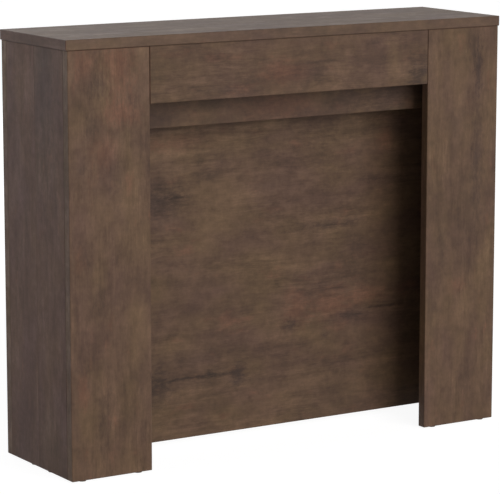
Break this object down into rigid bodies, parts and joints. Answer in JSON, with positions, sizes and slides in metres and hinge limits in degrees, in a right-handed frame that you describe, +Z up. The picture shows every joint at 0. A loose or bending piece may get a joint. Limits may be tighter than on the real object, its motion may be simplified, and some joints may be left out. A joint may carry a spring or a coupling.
{
  "type": "extending console table",
  "caption": "Narrow wood-effect console table that parts at mid-depth and draws out on telescopic slides into a long table, with a recessed panel between broad legs.",
  "frame": {"origin": "on the floor under the middle of the closed table", "axes": "+X along the front to the right, +Y from the front to the rear, +Z up"},
  "size_m": [0.9, 0.242, 0.757],
  "materials": {
    "oak_melamine": "melamine-faced board with a dark smoked oak decor and matching edging, matt",
    "aluminium_profile": "extruded, natural anodised",
    "nylon_black": "moulded, satin",
    "brown_nylon": "moulded, brown, satin",
    "zinc_plated_steel": "zinc plated",
    "bright_steel": "zinc plated, bright",
    "zinc_cam": "die-cast zinc",
    "beech_dowel": "plain fluted beech"
  },
  "bodies": {
    "rear_half": {"rear_top": "oak_melamine", "rear_left_leg": "oak_melamine", "rear_right_leg": "oak_melamine", "rear_left_side": "oak_melamine", "rear_right_side": "oak_melamine", "rear_fascia": "oak_melamine", "recessed_panel": "oak_melamine", "rear_dowels": "beech_dowel", "rear_cams": "zinc_cam", "rear_cam_bolts": "bright_steel", "rear_glides": "brown_nylon", "rear_slide_brackets": "zinc_plated_steel", "rear_screws": "bright_steel", "left_slide_1": "aluminium_profile", "right_slide_1": "aluminium_profile", "slide_shoes_1": "nylon_black"},
    "front_half": {"front_top": "oak_melamine", "front_left_leg": "oak_melamine", "front_right_leg": "oak_melamine", "front_left_side": "oak_melamine", "front_right_side": "oak_melamine", "front_fascia": "oak_melamine", "front_rail": "oak_melamine", "front_dowels": "beech_dowel", "front_cams": "zinc_cam", "front_cam_bolts": "bright_steel", "front_glides": "brown_nylon", "front_slide_brackets": "zinc_plated_steel", "front_screws": "bright_steel", "top_pins": "beech_dowel", "left_slide_10": "aluminium_profile", "right_slide_10": "aluminium_profile", "slide_shoes_10": "nylon_black"},
    "slide_stage_2": {"left_slide_2": "aluminium_profile", "right_slide_2": "aluminium_profile", "slide_shoes_2": "nylon_black"},
    "slide_stage_3": {"left_slide_3": "aluminium_profile", "right_slide_3": "aluminium_profile", "slide_shoes_3": "nylon_black"},
    "slide_stage_4": {"left_slide_4": "aluminium_profile", "right_slide_4": "aluminium_profile", "slide_shoes_4": "nylon_black"},
    "slide_stage_5": {"left_slide_5": "aluminium_profile", "right_slide_5": "aluminium_profile", "slide_shoes_5": "nylon_black"},
    "slide_stage_6": {"left_slide_6": "aluminium_profile", "right_slide_6": "aluminium_profile", "slide_shoes_6": "nylon_black"},
    "slide_stage_7": {"left_slide_7": "aluminium_profile", "right_slide_7": "aluminium_profile", "slide_shoes_7": "nylon_black"},
    "slide_stage_8": {"left_slide_8": "aluminium_profile", "right_slide_8": "aluminium_profile", "slide_shoes_8": "nylon_black"},
    "slide_stage_9": {"left_slide_9": "aluminium_profile", "right_slide_9": "aluminium_profile", "slide_shoes_9": "nylon_black"}
  },
  "joints": [
    {"name": "table_extension", "type": "slide", "parent": "rear_half", "child": "front_half", "axis": [0, -1, 0], "range_m": [0, 1.35]},
    {"name": "slide_stage_2_run", "type": "slide", "parent": "rear_half", "child": "slide_stage_2", "axis": [0, -1, 0], "range_m": [0, 0.15]},
    {"name": "slide_stage_3_run", "type": "slide", "parent": "rear_half", "child": "slide_stage_3", "axis": [0, -1, 0], "range_m": [0, 0.3]},
    {"name": "slide_stage_4_run", "type": "slide", "parent": "rear_half", "child": "slide_stage_4", "axis": [0, -1, 0], "range_m": [0, 0.45]},
    {"name": "slide_stage_5_run", "type": "slide", "parent": "rear_half", "child": "slide_stage_5", "axis": [0, -1, 0], "range_m": [0, 0.6]},
    {"name": "slide_stage_6_run", "type": "slide", "parent": "rear_half", "child": "slide_stage_6", "axis": [0, -1, 0], "range_m": [0, 0.75]},
    {"name": "slide_stage_7_run", "type": "slide", "parent": "rear_half", "child": "slide_stage_7", "axis": [0, -1, 0], "range_m": [0, 0.9]},
    {"name": "slide_stage_8_run", "type": "slide", "parent": "rear_half", "child": "slide_stage_8", "axis": [0, -1, 0], "range_m": [0, 1.05]},
    {"name": "slide_stage_9_run", "type": "slide", "parent": "rear_half", "child": "slide_stage_9", "axis": [0, -1, 0], "range_m": [0, 1.2]}
  ],
  "couplings": [
    {"joint": "slide_stage_2_run", "follows": "table_extension", "ratio": 0.11111},
    {"joint": "slide_stage_3_run", "follows": "table_extension", "ratio": 0.22222},
    {"joint": "slide_stage_4_run", "follows": "table_extension", "ratio": 0.33333},
    {"joint": "slide_stage_5_run", "follows": "table_extension", "ratio": 0.44444},
    {"joint": "slide_stage_6_run", "follows": "table_extension", "ratio": 0.55556},
    {"joint": "slide_stage_7_run", "follows": "table_extension", "ratio": 0.66667},
    {"joint": "slide_stage_8_run", "follows": "table_extension", "ratio": 0.77778},
    {"joint": "slide_stage_9_run", "follows": "table_extension", "ratio": 0.88889}
  ]
}
